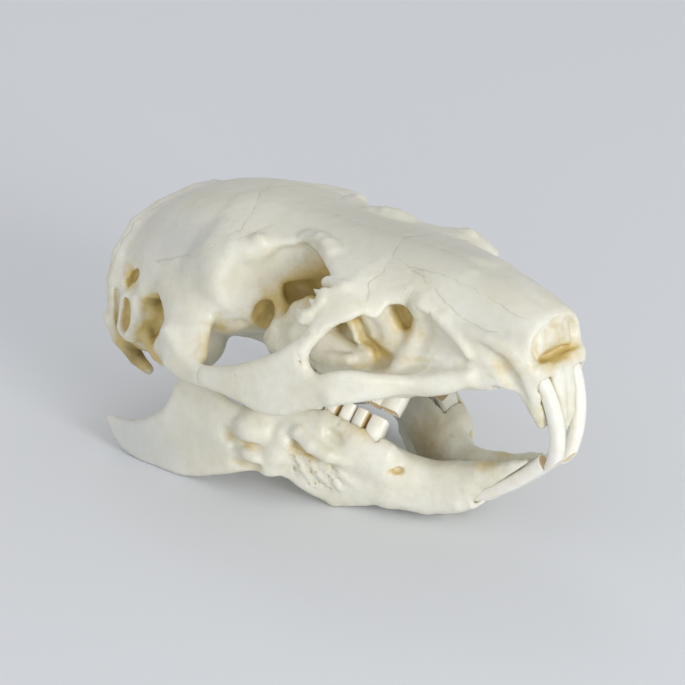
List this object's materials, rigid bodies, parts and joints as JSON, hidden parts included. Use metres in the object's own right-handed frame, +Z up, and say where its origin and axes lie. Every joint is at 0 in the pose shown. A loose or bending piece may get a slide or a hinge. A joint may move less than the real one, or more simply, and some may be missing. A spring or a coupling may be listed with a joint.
{
  "type": "guinea pig skull",
  "caption": "Whole rodent skull: cranium with cheek arches and eye sockets, separate lower jaw below it, curved front teeth and ridged cheek teeth, all standing on the jaw.",
  "frame": {"origin": "on the floor plane, below the middle of the skull's bounding box; the skull rests there on both jaw angles, both cheek bulges of the jaw and the chin", "axes": "+X forward to the nose, +Y to the animal's left, +Z up"},
  "size_m": [0.0689, 0.0382, 0.0346],
  "materials": {
    "bone": "dry cream-white bone, dull with a faint sheen",
    "tooth": "smooth ivory tooth"
  },
  "bodies": {
    "root": {"cranium": "bone", "mandible": "bone", "upper_incisor_right": "tooth", "upper_premolar_4_right": "tooth", "upper_molar_1_right": "tooth", "upper_molar_2_right": "tooth", "upper_molar_3_right": "tooth", "upper_incisor_left": "tooth", "upper_premolar_4_left": "tooth", "upper_molar_1_left": "tooth", "upper_molar_2_left": "tooth", "upper_molar_3_left": "tooth", "lower_incisor_right": "tooth", "lower_premolar_4_right": "tooth", "lower_molar_1_right": "tooth", "lower_molar_2_right": "tooth", "lower_molar_3_right": "tooth", "lower_incisor_left": "tooth", "lower_premolar_4_left": "tooth", "lower_molar_1_left": "tooth", "lower_molar_2_left": "tooth", "lower_molar_3_left": "tooth"}
  },
  "joints": []
}
